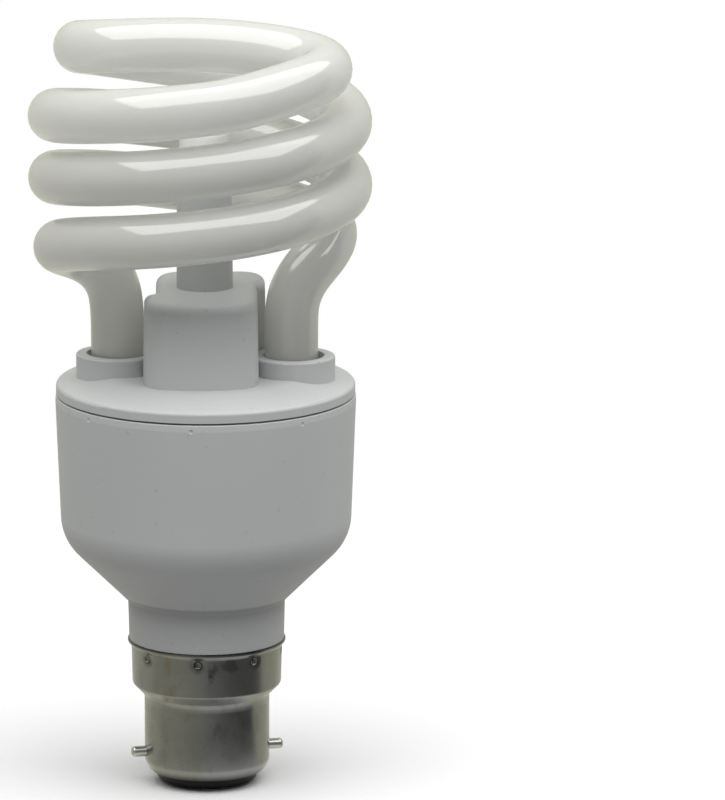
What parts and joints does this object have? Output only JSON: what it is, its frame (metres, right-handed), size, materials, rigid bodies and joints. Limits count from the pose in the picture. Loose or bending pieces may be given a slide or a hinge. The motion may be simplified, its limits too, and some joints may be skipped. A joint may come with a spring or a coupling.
{
  "type": "compact fluorescent bulb",
  "caption": "Compact fluorescent bulb with a double spiral tube, a post inside the spiral, a drum-shaped ballast housing and a bayonet cap.",
  "frame": {"origin": "on the bulb's axis, in the plane of the two cap contacts, where the cap meets its holder", "axes": "+Z along the bulb's axis from the cap to the tube; -Y is the front, the side seen in the picture; +X is to the right there"},
  "size_m": [0.0596, 0.0596, 0.1357],
  "materials": {
    "tube_glass": "glossy white, phosphor seen through glass",
    "white_plastic": "fine matt moulded",
    "lens": "smooth translucent",
    "nickel": "dull drawn metal with stains",
    "pin_metal": "bright turned",
    "black_bead": "glazed",
    "solder": "dull",
    "wire": "insulated",
    "board": "paper laminate",
    "capacitor_sleeve": "shrunk sleeve",
    "ferrite": "sintered",
    "copper": "enamelled wire",
    "component_body": "moulded",
    "film_dip": "dipped",
    "cement": "set paste"
  },
  "bodies": {
    "root": {"spiral_tube": "tube_glass", "tube_cover": "white_plastic", "receiver_post": "white_plastic", "receiver_lens": "lens", "housing": "white_plastic", "cap_shell": "nickel", "bayonet_pin_left": "pin_metal", "bayonet_pin_right": "pin_metal", "cap_insulator": "black_bead", "contact_front": "solder", "contact_back": "solder", "supply_wire_front": "wire", "supply_wire_back": "wire", "circuit_board": "board", "reservoir_capacitor": "capacitor_sleeve", "choke_core": "ferrite", "choke_winding": "copper", "drive_transformer": "ferrite", "transistor_left": "component_body", "transistor_right": "component_body", "film_capacitor": "film_dip", "starting_capacitor": "film_dip", "line_filter_coil": "copper", "fuse_resistor": "film_dip", "rectifier_diodes": "component_body", "tube_cement_left": "cement", "tube_cement_right": "cement", "filament_leads_left": "solder", "filament_leads_right": "solder", "receiver_board": "board", "control_chip": "component_body", "infrared_receiver": "component_body", "receiver_leads": "solder"}
  },
  "joints": []
}
